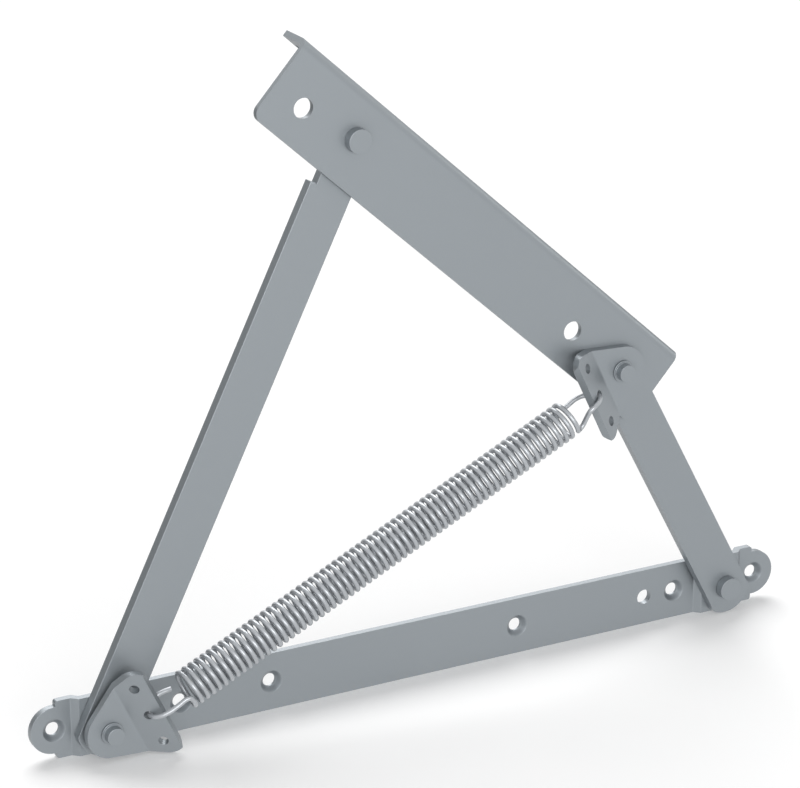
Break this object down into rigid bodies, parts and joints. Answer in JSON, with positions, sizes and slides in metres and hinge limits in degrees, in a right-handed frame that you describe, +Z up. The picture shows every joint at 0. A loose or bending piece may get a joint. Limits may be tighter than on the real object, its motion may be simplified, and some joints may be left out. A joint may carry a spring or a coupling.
{
  "type": "spring lid stay",
  "caption": "Sprung lid stay: two flat links on a joggled wall rail carry an angle bracket, and an extension spring between two folded ears holds the lid open.",
  "frame": {"origin": "middle of the rail's back face, on the line of its screw holes", "axes": "+X along the rail from pivot A towards pivot D, +Y into the wall that the rail is screwed to, +Z up"},
  "size_m": [0.4212, 0.0427, 0.3373],
  "materials": {
    "plate": "satin zinc plating, blue grey",
    "rivet": "satin zinc plating",
    "spring_wire": "bright zinc plating"
  },
  "bodies": {
    "base": {"base_rail": "plate", "rivet_a": "rivet", "rivet_d": "rivet", "spacer": "rivet"},
    "long_link": {"long_link": "plate", "rivet_b_rear": "rivet"},
    "short_link": {"short_link": "plate", "rivet_c": "rivet"},
    "top_bracket": {"top_bracket": "plate", "rivet_b_front": "rivet"},
    "lower_ear": {"lower_ear": "plate"},
    "upper_ear": {"upper_ear": "plate"},
    "spring": {"extension_spring": "spring_wire"}
  },
  "joints": [
    {"name": "long_link_pivot", "type": "hinge", "parent": "base", "child": "long_link", "pos_m": [-0.17565, 0, 0], "axis": [0, 1, 0], "range_deg": [0, 56.5]},
    {"name": "short_link_pivot", "type": "hinge", "parent": "base", "child": "short_link", "pos_m": [0.176, 0, 0], "axis": [0, 1, 0], "range_deg": [0, 110.14]},
    {"name": "bracket_pivot", "type": "hinge", "parent": "short_link", "child": "top_bracket", "pos_m": [0.10502, 0, 0.13373], "axis": [0, 1, 0], "range_deg": [-148.33, 0]},
    {"name": "upper_ear_pivot", "type": "hinge", "parent": "top_bracket", "child": "upper_ear", "pos_m": [0.10502, 0, 0.13373], "axis": [0, 1, 0], "range_deg": [0, 61.32]},
    {"name": "lower_ear_pivot", "type": "hinge", "parent": "base", "child": "lower_ear", "pos_m": [-0.17565, 0, 0], "axis": [0, 1, 0], "range_deg": [0, 23.13]},
    {"name": "spring_stretch", "type": "slide", "parent": "lower_ear", "child": "spring", "axis": [0.9028, 0, 0.4301], "range_m": [0, 0.19116], "stiffness_N_per_m": 1100, "springref_m": -0.02, "deforming": ["extension_spring"]}
  ],
  "couplings": [
    {"joint": "short_link_pivot", "follows": "long_link_pivot", "ratio": 1.9494},
    {"joint": "bracket_pivot", "follows": "long_link_pivot", "ratio": -2.6254},
    {"joint": "upper_ear_pivot", "follows": "long_link_pivot", "ratio": 1.0853},
    {"joint": "lower_ear_pivot", "follows": "long_link_pivot", "ratio": 0.40931},
    {"joint": "spring_stretch", "follows": "long_link_pivot", "m_per_rad": 0.19385}
  ]
}
